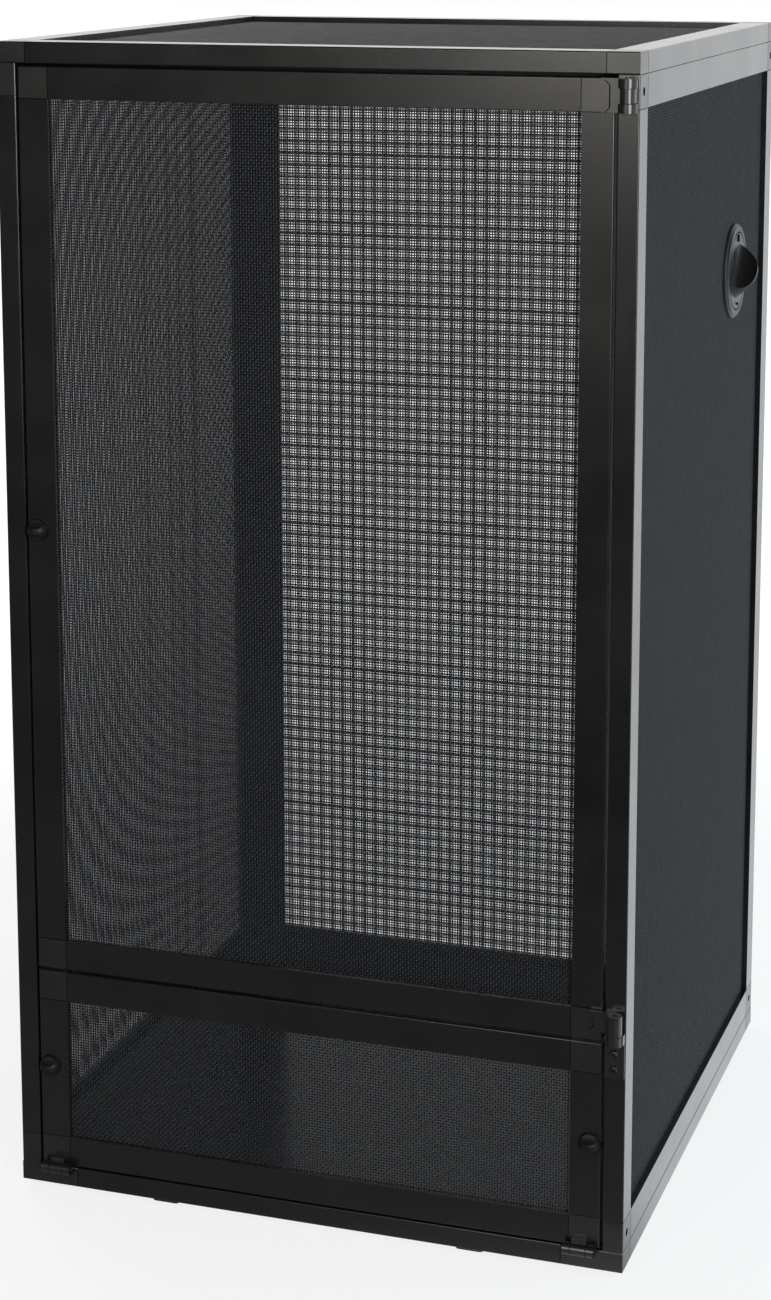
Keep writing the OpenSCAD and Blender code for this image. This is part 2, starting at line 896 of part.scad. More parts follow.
// Cap with its grip, turning in the flange; two lugs catch behind the ring
module port_cap() {
    lug_z = lip_h + mesh_t + ring_t + lug_gap;
    lug_d = port_bore_d + 2 * lug_reach;
    spigot_d = port_bore_d - 2 * seat;
    color(knob_colour) at_port() difference() {
        union() {
            cylinder(d = cap_d, h = rim_t);
            cylinder(d = spigot_d, h = lug_z + lug_t);
            intersection() {
                cylinder(d = lug_d, h = lug_z + lug_t);
                translate([-lug_d / 2, -lug_w / 2, lug_z]) cube([lug_d, lug_w, lug_t]);
            }
            mirror([0, 0, 1]) rotate(grip_tilt) translate([0, 0, -mark_h])
                scooped_dome(grip_d, grip_h + mark_h, 0, grip_fin_share * grip_d, grip_scoop_r);
        }
        translate([mark_place, 0, mark_h / 2]) cube([mark_l, mark_w, mark_h + seat], center = true);
        translate([-mark_place, 0, -cut]) cylinder(d = mark_d, h = mark_h + cut);
        translate([0, 0, rim_t + rail_wall]) cylinder(d = spigot_d - 2 * ring_t, h = rail_t);
    }
}

module port_screws() {
    color(steel_colour) at_port() at_port_screws() translate([0, 0, lip_h + mesh_t + ring_t]) {
        cylinder(d = port_head_d, h = port_head_h);
        translate([0, 0, fit - port_screw_l]) cylinder(d = port_screw_d, h = port_screw_l - fit);
    }
}

lid_rails();
lid_side_rails();
lid_corners();
lid_mesh();
lid_spline();
base_rails();
base_side_rails();
base_corners();
floor_panel();
feet();
left_stiles();
left_rails();
left_corners();
left_mesh();
left_spline();
right_stiles();
right_rails();
right_corners();
right_mesh();
right_spline();
back_stiles();
back_rails();
back_corners();
back_mesh();
back_spline();
panel_screws();
upper_door_hinge_stile();
upper_door_latch_stile();
upper_door_rails();
upper_door_corners();
upper_door_mesh();
upper_door_spline();
lower_door_stiles();
lower_door_rails();
lower_door_corners();
lower_door_mesh();
lower_door_spline();
upper_hinge_pin();
lower_hinge_pin();
hinge_bracket();
bracket_screws();
flap_hinge_pins();
upper_latch_knob();
upper_latch_cam();
upper_latch_screw();
left_latch_knob();
left_latch_cam();
left_latch_screw();
right_latch_knob();
right_latch_cam();
right_latch_screw();
port_flange();
port_ring();
port_cap();
port_screws();
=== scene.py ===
"""Looks of the tall mesh cage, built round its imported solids."""
import math

import bmesh
import bpy
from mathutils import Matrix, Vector


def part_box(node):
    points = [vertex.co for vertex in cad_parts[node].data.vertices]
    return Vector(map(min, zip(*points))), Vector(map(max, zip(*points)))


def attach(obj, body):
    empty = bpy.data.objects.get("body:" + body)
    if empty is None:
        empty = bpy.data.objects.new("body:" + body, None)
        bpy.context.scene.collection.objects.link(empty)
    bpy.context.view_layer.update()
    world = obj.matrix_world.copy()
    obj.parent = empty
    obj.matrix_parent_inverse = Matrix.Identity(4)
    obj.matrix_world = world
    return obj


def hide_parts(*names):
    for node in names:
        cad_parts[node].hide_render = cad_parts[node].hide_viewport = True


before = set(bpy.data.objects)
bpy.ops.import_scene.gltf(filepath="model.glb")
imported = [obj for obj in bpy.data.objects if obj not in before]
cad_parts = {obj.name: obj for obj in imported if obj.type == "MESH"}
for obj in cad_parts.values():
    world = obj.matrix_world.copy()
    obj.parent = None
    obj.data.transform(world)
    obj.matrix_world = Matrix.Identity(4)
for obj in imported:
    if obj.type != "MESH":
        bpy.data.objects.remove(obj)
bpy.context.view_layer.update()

MM = 0.001
AXES = {"x": Vector((1, 0, 0)), "y": Vector((0, 1, 0)), "z": Vector((0, 0, 1))}


# Camera

LENS_MM = 76.1
SENSOR_MM = 36
SHIFT_Y = -0.206
EYE = (0.57452, -1.7667, 0.8493)
LOOK_DEG = (80.053, 0.05, 18.5472)


def make_camera():
    """The photo's camera, solved from the cage's straight edges."""
    data = bpy.data.cameras.new("photo_camera")
    data.lens = LENS_MM
    data.sensor_width = SENSOR_MM
    data.shift_y = SHIFT_Y
    camera = bpy.data.objects.new("photo_camera", data)
    camera.location = EYE
    camera.rotation_euler = [math.radians(angle) for angle in LOOK_DEG]
    bpy.context.collection.objects.link(camera)
    bpy.context.scene.camera = camera
    bpy.context.scene.view_settings.view_transform = "Standard"


# Node helpers

def ranged(tree, value, start, end, low=0.0, high=1.0, smooth=False):
    """Goes from low to high while value goes from start to end; low may also be a node's output."""
    made = tree.nodes.new("ShaderNodeMapRange")
    if smooth:
        made.interpolation_type = "SMOOTHSTEP"
    tree.links.new(value, made.inputs["Value"])
    for socket, number in (("From Min", start), ("From Max", end), ("To Min", low), ("To Max", high)):
        if isinstance(number, bpy.types.NodeSocket):
            tree.links.new(number, made.inputs[socket])
        else:
            made.inputs[socket].default_value = number
    return made.outputs[0]


def combined(tree, operation, first, second):
    """A sum, a maximum or the like of two values."""
    made = tree.nodes.new("ShaderNodeMath")
    made.operation = operation
    tree.links.new(first, made.inputs[0])
    tree.links.new(second, made.inputs[1])
    return made.outputs[0]


def mixed(tree, share, first, second):
    """One of two shaders, or a share of each."""
    made = tree.nodes.new("ShaderNodeMixShader")
    for number, output in enumerate((share, first, second)):
        tree.links.new(output, made.inputs[number])
    return made.outputs[0]


# Studio

WHITE = (1, 1, 1, 1)
DIM_FILL, DIM_MIRRORED = 0.35, 0.035
DIM_FROM, DIM_TO = 0.3, 0.8
LAMPS = [
    # name, place, aim, width, height, watts, colour, whether glossy surfaces mirror it
    ("key", (2.0, -2.4, 1.0), (0.1, -0.1, 0.5), 1.2, 1.2, 60, (1, 1, 1), True),
    ("front", (-0.32, -3.2, 1.2), (0, 0, 0.6), 0.9, 1.2, 19, (1, 0.965, 0.9), True),
    ("side", (2.8, 0.9, 1.0), (0.2, 0, 0.4), 1.2, 1.6, 45, (0.3, 0.64, 1), False),
    ("back", (-2.5, 2.0, 1.8), (0, 0, 0.4), 1.4, 1.4, 40, (1, 1, 1), True),
]


def make_world():
    """White to the camera and behind the object; elsewhere a dim fill, dimmer still in reflections."""
    world = bpy.data.worlds.new("studio")
    bpy.context.scene.world = world
    world.use_nodes = True
    tree = world.node_tree
    path = tree.nodes.new("ShaderNodeLightPath").outputs
    place = tree.nodes.new("ShaderNodeTexCoord")
    parts = tree.nodes.new("ShaderNodeSeparateXYZ")
    tree.links.new(place.outputs["Generated"], parts.inputs[0])
    behind = ranged(tree, parts.outputs["Y"], DIM_FROM, DIM_TO, smooth=True)
    seen = combined(tree, "MAXIMUM", path["Is Camera Ray"], path["Is Transmission Ray"])
    dim = ranged(tree, path["Is Glossy Ray"], 0, 1, DIM_FILL, DIM_MIRRORED)
    mix = tree.nodes.new("ShaderNodeMix")
    mix.data_type = "RGBA"
    tree.links.new(combined(tree, "MAXIMUM", seen, behind), mix.inputs["Factor"])
    tree.links.new(dim, mix.inputs["A"])
    mix.inputs["B"].default_value = WHITE
    tree.links.new(mix.outputs["Result"], tree.nodes["Background"].inputs["Color"])


def make_lamps():
    for name, place, aim, width, height, watts, colour, mirrored in LAMPS:
        data = bpy.data.lights.new(name, "AREA")
        data.color = colour
        data.shape = "RECTANGLE"
        data.size = width
        data.size_y = height
        data.energy = watts
        lamp = bpy.data.objects.new(name, data)
        lamp.location = place
        lamp.rotation_euler = (Vector(aim) - Vector(place)).to_track_quat("-Z", "Y").to_euler()
        lamp.visible_glossy = mirrored
        bpy.context.collection.objects.link(lamp)


FLOOR_HALF = 20
FLOOR_COLOUR = (0.82, 0.82, 0.81, 1)
SHADE_COLOUR = (0.17, 0.17, 0.17, 1)
GLOW_NEAR, GLOW_FAR = 0.8, 1.0
GLOW_FROM, GLOW_TO = 0.5, 1.5
# In reflections the floor is pale behind the cage and dark in front of it, less so to the left and close by
MIRRORED_COLOUR = (0.945, 0.98, 1, 1)
MIRRORED_BACK = 0.98
MIRRORED_WAY = (0.25, 0.97, 0)
MIRRORED_FROM, MIRRORED_TO = -0.25, 0.0
MIRRORED_LEFT, MIRRORED_RIGHT = 0.096, 0.03
MIRRORED_X = (-0.9, -0.2)
MIRRORED_NEAR = 0.12
MIRRORED_NEAR_Y = (-1.2, -0.3)


def paper_shader(tree, place, path):
    """Paper under the lamps; the camera sees it glow, whiter with the distance, with the shadow on it."""
    paper = tree.nodes.new("ShaderNodeBsdfDiffuse")
    paper.inputs["Color"].default_value = FLOOR_COLOUR
    reach = tree.nodes.new("ShaderNodeVectorMath")
    reach.operation = "LENGTH"
    tree.links.new(place, reach.inputs[0])
    glow = ranged(tree, reach.outputs["Value"], GLOW_FROM, GLOW_TO, GLOW_NEAR, GLOW_FAR, smooth=True)
    light = tree.nodes.new("ShaderNodeEmission")
    tree.links.new(glow, light.inputs["Strength"])
    shade = tree.nodes.new("ShaderNodeBsdfDiffuse")
    shade.inputs["Color"].default_value = SHADE_COLOUR
    white = tree.nodes.new("ShaderNodeAddShader")
    tree.links.new(light.outputs[0], white.inputs[0])
    tree.links.new(shade.outputs[0], white.inputs[1])
    return mixed(tree, path["Is Camera Ray"], paper.outputs[0], white.outputs[0])


def mirrored_shader(tree, place):
    """The floor as glossy surfaces see it."""
    way = tree.nodes.new("ShaderNodeVectorMath")
    way.operation = "DOT_PRODUCT"
    way.inputs[1].default_value = MIRRORED_WAY
    tree.links.new(place, way.inputs[0])
    parts = tree.nodes.new("ShaderNodeSeparateXYZ")
    tree.links.new(place, parts.inputs[0])
    aside = ranged(tree, parts.outputs["X"], *MIRRORED_X, MIRRORED_LEFT, MIRRORED_RIGHT)
    close = ranged(tree, parts.outputs["Y"], *MIRRORED_NEAR_Y, high=MIRRORED_NEAR)
    front = combined(tree, "ADD", aside, close)
    depth = ranged(tree, way.outputs["Value"], MIRRORED_FROM, MIRRORED_TO, front, MIRRORED_BACK, smooth=True)
    mirrored = tree.nodes.new("ShaderNodeEmission")
    mirrored.inputs["Color"].default_value = MIRRORED_COLOUR
    tree.links.new(depth, mirrored.inputs["Strength"])
    return mirrored.outputs[0]


def make_floor():
    """A wide floor of lit paper, which glossy surfaces see in their own way."""
    mesh = bpy.data.meshes.new("floor")
    corners = [(-1, -1), (1, -1), (1, 1), (-1, 1)]
    mesh.from_pydata([(x * FLOOR_HALF, y * FLOOR_HALF, 0) for x, y in corners], [], [(0, 1, 2, 3)])
    floor = bpy.data.objects.new("floor", mesh)
    bpy.context.collection.objects.link(floor)
    look = bpy.data.materials.new("floor")
    look.use_nodes = True
    tree = look.node_tree
    tree.nodes.remove(tree.nodes["Principled BSDF"])
    path = tree.nodes.new("ShaderNodeLightPath").outputs
    place = tree.nodes.new("ShaderNodeTexCoord").outputs["Object"]
    paper = paper_shader(tree, place, path)
    chosen = mixed(tree, path["Is Glossy Ray"], paper, mirrored_shader(tree, place))
    tree.links.new(chosen, tree.nodes["Material Output"].inputs["Surface"])
    mesh.materials.append(look)


# Materials; clouds, grain, rubs, flecks and patches count the cells of a noise per metre

NOISE_LOW, NOISE_HIGH = 0.3, 0.7


class Look:
    """A material and short ways to add nodes to it."""

    def __init__(self, name):
        self.material = bpy.data.materials.new(name)
        self.material.use_nodes = True
        self.tree = self.material.node_tree
        self.shader = self.tree.nodes["Principled BSDF"]
        self.place = self.node("ShaderNodeTexCoord").outputs["Object"]

    def node(self, kind, **values):
        made = self.tree.nodes.new(kind)
        for key, value in values.items():
            made.inputs[key].default_value = value
        return made

    def link(self, start, end):
        self.tree.links.new(start, end)

    def stretched(self, scale):
        """The place, stretched by one factor along each axis."""
        mapping = self.node("ShaderNodeMapping", Scale=scale)
        self.link(self.place, mapping.inputs["Vector"])
        return mapping.outputs["Vector"]

    def noise(self, scale, detail=2.0, roughness=0.5, place=None):
        made = self.node("ShaderNodeTexNoise", Scale=scale, Detail=detail, Roughness=roughness)
        self.link(place or self.place, made.inputs["Vector"])
        return made.outputs["Fac"]

    def ramp(self, value, dark, pale, low=NOISE_LOW, high=NOISE_HIGH):
        """A colour that goes from dark to pale while value goes from low to high."""
        made = self.node("ShaderNodeValToRGB")
        for element, position, colour in zip(made.color_ramp.elements, (low, high), (dark, pale)):
            element.position = position
            element.color = (*colour, 1)
        self.link(value, made.inputs["Fac"])
        return made.outputs["Color"]

    def between(self, noise, low, high):
        """The usual spread of a noise, moved to low and high."""
        return ranged(self.tree, noise, NOISE_LOW, NOISE_HIGH, low, high)

    def bump(self, height, distance, under=None):
        made = self.node("ShaderNodeBump", Distance=distance)
        self.link(height, made.inputs["Height"])
        if under:
            self.link(under, made.inputs["Normal"])
        return made.outputs["Normal"]

    def finish(self, colour, roughness, normal):
        self.link(colour, self.shader.inputs["Base Color"])
        self.link(roughness, self.shader.inputs["Roughness"])
        self.link(normal, self.shader.inputs["Normal"])
        return self.material


RAIL_DARK, RAIL_PALE = (0.0036, 0.0036, 0.0036), (0.0056, 0.0055, 0.0054)
RAIL_SMOOTH, RAIL_ROUGH = 0.23, 0.3
RAIL_COAT, RAIL_COAT_ROUGHNESS = 0.6, 0.16
RAIL_CLOUDS = 22.0
RAIL_GRAIN = 2600.0
RAIL_GRAIN_RISE = 0.02 * MM
DRAWN_ALONG, DRAWN_ACROSS = 2.5, 420
DRAWN_RISE = 0.012 * MM


def coated_rail(axis):
    """Satin black coat over an extrusion, with faint draw lines along one axis."""
    look = Look(f"rail_{axis}")
    look.shader.inputs["Coat Weight"].default_value = RAIL_COAT
    look.shader.inputs["Coat Roughness"].default_value = RAIL_COAT_ROUGHNESS
    stretch = [DRAWN_ALONG if axis == other else DRAWN_ACROSS for other in "xyz"]
    lines = look.noise(1.0, detail=3.0, place=look.stretched(stretch))
    clouds = look.noise(RAIL_CLOUDS, detail=4.0)
    grain = look.noise(RAIL_GRAIN, detail=1.0)
    drawn = look.bump(lines, DRAWN_RISE)
    normal = look.bump(grain, RAIL_GRAIN_RISE, under=drawn)
    colour = look.ramp(clouds, RAIL_DARK, RAIL_PALE)
    return look.finish(colour, look.between(clouds, RAIL_SMOOTH, RAIL_ROUGH), normal)


MOULD_CLOUDS = 45.0
MOULD_GRAIN = 1800.0
MOULD_GRAIN_RISE = 0.02 * MM
MOULD_COAT_ROUGHNESS = 0.22


def moulded(name, dark, pale, smooth, rough, grain=MOULD_GRAIN, rise=MOULD_GRAIN_RISE,
            coat=0.0, specular=0.5):
    """Moulded plastic or rubber with a fine cast grain and slow patches of gloss."""
    look = Look(name)
    look.shader.inputs["Coat Weight"].default_value = coat
    look.shader.inputs["Coat Roughness"].default_value = MOULD_COAT_ROUGHNESS
    look.shader.inputs["Specular IOR Level"].default_value = specular
    clouds = look.noise(MOULD_CLOUDS, detail=4.0)
    normal = look.bump(look.noise(grain), rise)
    return look.finish(look.ramp(clouds, dark, pale), look.between(clouds, smooth, rough), normal)


CAP_SPECULAR = 0.3
GRIP_FROM, GRIP_TO = 0.2 * MM, 0.8 * MM
PORT_FACE_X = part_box("port_flange")[1].x


def cap_look(name, disc, grip, smooth, rough):
    """A cap whose grip stands out along x and is darker than its disc; each is a pair of colours."""
    look = Look(name)
    look.shader.inputs["Specular IOR Level"].default_value = CAP_SPECULAR
    parts = look.node("ShaderNodeSeparateXYZ")
    look.link(look.place, parts.inputs[0])
    change = ranged(look.tree, parts.outputs["X"], PORT_FACE_X + GRIP_FROM, PORT_FACE_X + GRIP_TO)
    clouds = look.noise(MOULD_CLOUDS, detail=4.0)
    mix = look.node("ShaderNodeMix")
    mix.data_type = "RGBA"
    look.link(change, mix.inputs["Factor"])
    for socket, (dark, pale) in (("A", disc), ("B", grip)):
        look.link(look.ramp(clouds, dark, pale), mix.inputs[socket])
    normal = look.bump(look.noise(MOULD_GRAIN), MOULD_GRAIN_RISE)
    return look.finish(mix.outputs["Result"], look.between(clouds, smooth, rough), normal)


RUBS = 130.0
RUBS_LOW, RUBS_HIGH = 0.42, 0.62
RUBS_RISE = 0.02 * MM


def worn_and_highlit(name, dark, pale, smooth, rough):
    """Bevel colour paler than the faces: finish rubbed thin in places, and a painted edge highlight."""
    look = Look(name)
    rubs = look.noise(RUBS, detail=6.0, roughness=0.65)
    colour = look.ramp(rubs, dark, pale, RUBS_LOW, RUBS_HIGH)
    return look.finish(colour, look.between(rubs, rough, smooth), look.bump(rubs, RUBS_RISE))


FLECKS = 600.0
FLECKS_LOW, FLECKS_HIGH = 0.35, 0.65
FLECKS_RISE = 0.01 * MM


def metal(name, dark, pale, smooth, rough):
    """Blackened metal with fine flecks."""
    look = Look(name)
    look.shader.inputs["Metallic"].default_value = 1.0
    flecks = look.noise(FLECKS, detail=5.0, roughness=0.6)
    colour = look.ramp(flecks, dark, pale, FLECKS_LOW, FLECKS_HIGH)
    return look.finish(colour, look.between(flecks, smooth, rough), look.bump(flecks, FLECKS_RISE))


WEAVE = "weave"
WEAVE_RISE = 0.3 * MM
WEAVE_LOW, WEAVE_HIGH = 0.15, 0.95
WIRE_SPECULAR = 0.25
WIRE_PATCHES = 160.0


def woven(name, under, over, smooth, rough):
    """Coated wire that rises over each second crossing wire; the mesh gives the phase in half turns. Its
    colour is painted shade (under) where it dips below a crossing wire and painted highlight (over) where it
    rises.
    """
    look = Look(name)
    look.shader.inputs["Specular IOR Level"].default_value = WIRE_SPECULAR
    phase = look.node("ShaderNodeAttribute")
    phase.attribute_name = WEAVE
    turn = look.node("ShaderNodeMath")
    turn.operation = "MULTIPLY"
    turn.inputs[1].default_value = math.pi
    look.link(phase.outputs["Fac"], turn.inputs[0])
    rise = look.node("ShaderNodeMath")
    rise.operation = "COSINE"
    look.link(turn.outputs[0], rise.inputs[0])
    level = ranged(look.tree, rise.outputs[0], -1, 1)
    # Painted shade and highlight: darker where the wire dips under, paler where it rises over
    colour = look.ramp(level, under, over, WEAVE_LOW, WEAVE_HIGH)
    roughness = look.between(look.noise(WIRE_PATCHES, detail=3.0), smooth, rough)
    return look.finish(colour, roughness, look.bump(level, WEAVE_RISE))


PORT_COLOURS = ((0.011, 0.012, 0.0135), (0.017, 0.0182, 0.02))
GRIP_COLOURS = ((0.0035, 0.0035, 0.0036), (0.006, 0.006, 0.0061))

RAIL = {axis: coated_rail(axis) for axis in "xyz"}
# The *_EDGE colours go on bevels: paler than the faces, partly rubbed finish and partly painted edge
# highlight
RAIL_EDGE = worn_and_highlit("rail_edge", (0.0045, 0.0045, 0.0044), (0.011, 0.0108, 0.0105), smooth=0.3, rough=0.42)
CORNER = moulded("corner", (0.0034, 0.0034, 0.0032), (0.0054, 0.0053, 0.0051), smooth=0.3, rough=0.37,
                 grain=1300.0, rise=0.03 * MM, coat=0.5, specular=0.8)
CORNER_EDGE = worn_and_highlit("corner_edge", (0.007, 0.007, 0.0068), (0.018, 0.0177, 0.017), smooth=0.32, rough=0.45)
# Wire colours: painted shade where a wire dips under, painted highlight where it rises over
WIRE = woven("wire", (0.004, 0.0045, 0.0054), (0.027, 0.0305, 0.036), smooth=0.3, rough=0.45)
RUBBER = moulded("rubber", (0.008, 0.008, 0.008), (0.014, 0.014, 0.014), smooth=0.6, rough=0.75,
                 grain=900.0, rise=0.05 * MM)
PVC = moulded("pvc", (0.005, 0.005, 0.0052), (0.008, 0.008, 0.0083), smooth=0.1, rough=0.2,
              grain=700.0, rise=0.008 * MM, coat=0.6)
PVC_EDGE = worn_and_highlit("pvc_edge", (0.02, 0.02, 0.02), (0.04, 0.04, 0.04), smooth=0.3, rough=0.4)
KNOB = moulded("knob", (0.005, 0.005, 0.005), (0.008, 0.008, 0.0078), smooth=0.42, rough=0.52, specular=0.28)
KNOB_EDGE = worn_and_highlit("knob_edge", (0.01, 0.01, 0.01), (0.028, 0.0277, 0.027), smooth=0.4, rough=0.5)
PORT = moulded("port", *PORT_COLOURS, smooth=0.36, rough=0.46)
PORT_EDGE = worn_and_highlit("port_edge", (0.06, 0.061, 0.062), (0.1, 0.1, 0.1), smooth=0.34, rough=0.46)
CAP = cap_look("cap", PORT_COLOURS, GRIP_COLOURS, smooth=0.28, rough=0.38)
# Near-black for painted shade in gaps and grooves, and for the dark marks on the port cap
SHADE_AND_MARKS = moulded("seam", (0.0008, 0.0008, 0.0008), (0.0014, 0.0014, 0.0014), smooth=0.7, rough=0.85,
               specular=0.1)
STEEL = metal("steel", (0.05, 0.05, 0.049), (0.12, 0.12, 0.117), smooth=0.3, rough=0.48)


# Solids that stay, with softened edges

WELD_GAP = 0.001 * MM
FLAT_DEG = 1.0
SHARP_DEG = 32.0
BEVEL_SEGMENTS = 2
EDGE_SLOT = 1
RAIL_BEVEL = 0.15 * MM
CORNER_BEVEL = 0.3 * MM
KNOB_BEVEL = 0.25 * MM
PORT_BEVEL = 0.3 * MM
PANEL_BEVEL = 0.4 * MM
FOOT_BEVEL = 0.4 * MM
PIN_BEVEL = 0.2 * MM
RAIL_NODES = {
    "x": ["lid_rails", "base_rails", "back_rails", "upper_door_rails", "lower_door_rails"],
    "y": ["lid_side_rails", "base_side_rails", "left_rails", "right_rails"],
    "z": ["left_stiles", "right_stiles", "back_stiles", "upper_door_hinge_stile", "upper_door_latch_stile",
          "lower_door_stiles"],
}
CORNER_NODES = ["lid_corners", "base_corners", "left_corners", "right_corners", "back_corners",
                "upper_door_corners", "lower_door_corners", "hinge_bracket"]
LATCHES = ["upper_latch", "left_latch", "right_latch"]


def dress(node, main, edge, width):
    """Gives a solid its material and small bevels, most in a paler edge colour that is partly wear and partly
    painted highlight.
    """
    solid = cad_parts[node]
    solid.data.materials.clear()
    solid.data.materials.append(main)
    solid.data.materials.append(edge)
    weld = solid.modifiers.new("weld", "WELD")
    weld.merge_threshold = WELD_GAP
    flat = solid.modifiers.new("flat", "DECIMATE")
    flat.decimate_type = "DISSOLVE"
    flat.angle_limit = math.radians(FLAT_DEG)
    bevel = solid.modifiers.new("bevel", "BEVEL")
    bevel.limit_method = "ANGLE"
    bevel.angle_limit = math.radians(SHARP_DEG)
    bevel.width = width
    bevel.segments = BEVEL_SEGMENTS
    bevel.material = EDGE_SLOT
    bevel.use_clamp_overlap = True
    normals = solid.modifiers.new("normals", "WEIGHTED_NORMAL")
    normals.keep_sharp = True


def dress_solids():
    for axis, nodes in RAIL_NODES.items():
        for node in nodes:
            dress(node, RAIL[axis], RAIL_EDGE, RAIL_BEVEL)
    for node in CORNER_NODES:
        dress(node, CORNER, CORNER_EDGE, CORNER_BEVEL)
    for latch in LATCHES:
        dress(f"{latch}_knob", KNOB, KNOB_EDGE, KNOB_BEVEL)
        dress(f"{latch}_cam", KNOB, KNOB_EDGE, KNOB_BEVEL)
    for node in ["port_flange", "port_ring"]:
        dress(node, PORT, PORT_EDGE, PORT_BEVEL)
    dress("port_cap", CAP, PORT_EDGE, PORT_BEVEL)
    dress("floor_panel", PVC, PVC_EDGE, PANEL_BEVEL)
    dress("feet", RUBBER, RUBBER, FOOT_BEVEL)
    for node in ["upper_hinge_pin", "lower_hinge_pin", "flap_hinge_pins"]:
        dress(node, STEEL, STEEL, PIN_BEVEL)


# Mesh helpers

def add_piece(mesh, material, body, node=None):
    """Puts a mesh in the scene on one body; node is the solid it stands for."""
    mesh.materials.append(material)
    piece = bpy.data.objects.new(mesh.name, mesh)
    bpy.context.collection.objects.link(piece)
    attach(piece, body)
    if node:
        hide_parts(node)


def smooth_mesh(name, points, faces):
    mesh = bpy.data.meshes.new(name)
    mesh.from_pydata(points, [], faces)
    mesh.polygons.foreach_set("use_smooth", [True] * len(mesh.polygons))
    return mesh


def add_dark_piece(name, points, faces, body):
    """A dark piece with flat faces that all look outwards: painted shade in a gap, or a dark mark on the port
    cap.
    """
    mesh = bpy.data.meshes.new(name)
    mesh.from_pydata(points, [], faces)
    bm = bmesh.new()
    bm.from_mesh(mesh)
    bmesh.ops.recalc_face_normals(bm, faces=bm.faces)
    bm.to_mesh(mesh)
    bm.free()
    add_piece(mesh, SHADE_AND_MARKS, body)


def add_prism(points, faces, outline, rise):
    """A solid between a flat outline and its copy moved by rise."""
    first, count = len(points), len(outline)
    points += outline
    points += [point + rise for point in outline]
    faces.append(tuple(first + step for step in reversed(range(count))))
    faces.append(tuple(first + count + step for step in range(count)))
    for step in range(count):
        other = (step + 1) % count
        faces.append((first + step, first + other, first + count + other, first + count + step))


def add_block(points, faces, corner, sides):
    """A box from one corner along three directions."""
    first = len(points)
    for count in range(8):
        points.append(corner + sum((side * (count >> bit & 1) for bit, side in enumerate(sides)), Vector()))
    for face in ((0, 2, 3, 1), (4, 5, 7, 6), (0, 1, 5, 4), (2, 6, 7, 3), (0, 4, 6, 2), (1, 3, 7, 5)):
        faces.append(tuple(first + number for number in face))


LEAST_MITRE = 0.5


def add_tube(points, faces, path, side, half_width, half_depth, sides):
    """A closed oval tube along a flat path; side is the direction across the path's plane."""
    first = len(points)
    last = len(path) - 1
    for index, centre in enumerate(path):
        before = (centre - path[max(index - 1, 0)]).normalized()
        after = (path[min(index + 1, last)] - centre).normalized()
        along = (before + after).normalized()
        normal = along.cross(side)
        mitre = 1 / max(along.dot(after if index < last else before), LEAST_MITRE)
        for step in range(sides):
            turn = 2 * math.pi * step / sides
            wide = side * (half_width * math.cos(turn))
            deep = normal * (half_depth * mitre * math.sin(turn))
            points.append(centre + wide + deep)
    for ring in range(last):
        low = first + ring * sides
        for step in range(sides):
            other = (step + 1) % sides
            faces.append((low + step, low + other, low + sides + other, low + sides + step))
    faces.append(tuple(first + step for step in reversed(range(sides))))
    faces.append(tuple(first + last * sides + step for step in range(sides)))


# Woven screens

WIRE_PITCH = 1.814 * MM
WIRE_HALF_W = 0.4 * MM
WIRE_HALF_T = 0.31 * MM
WIRE_SIDES = 8
WIRE_LIFT = 0.1 * MM
WIRE_HOLD = 0.6 * MM
SCREENS = {
    # node: inward axis with its sign, the panel's axis of the inner wires, that of the outer ones, body
    "lid_mesh": ("z", -1, "y", "x", "cage"),
    "left_mesh": ("x", 1, "y", "z", "cage"),
    "right_mesh": ("x", -1, "y", "z", "cage"),
    "back_mesh": ("y", -1, "x", "z", "cage"),
    "upper_door_mesh": ("y", 1, "x", "z", "upper_door"),
    "lower_door_mesh": ("y", 1, "x", "z", "lower_door"),
}
PORT_HOLE_R = 26.2 * MM


def spread(low, high, axis):
    """Even places for the wires between two edges."""
    start, end = low.dot(axis) + WIRE_HALF_W, high.dot(axis) - WIRE_HALF_W
    count = round((end - start) / WIRE_PITCH)
    return [start + (end - start) * step / count for step in range(count + 1)]


def add_wire(points, faces, phases, path, step, rungs, shift):
    """One wire; rungs are the crossing wires' places along it, and shift is its own count."""
    run, low, pitch = rungs
    add_tube(points, faces, path, step, WIRE_HALF_W, WIRE_HALF_T, WIRE_SIDES)
    for centre in path:
        phases += [(centre.dot(run) - low) / pitch + shift] * WIRE_SIDES


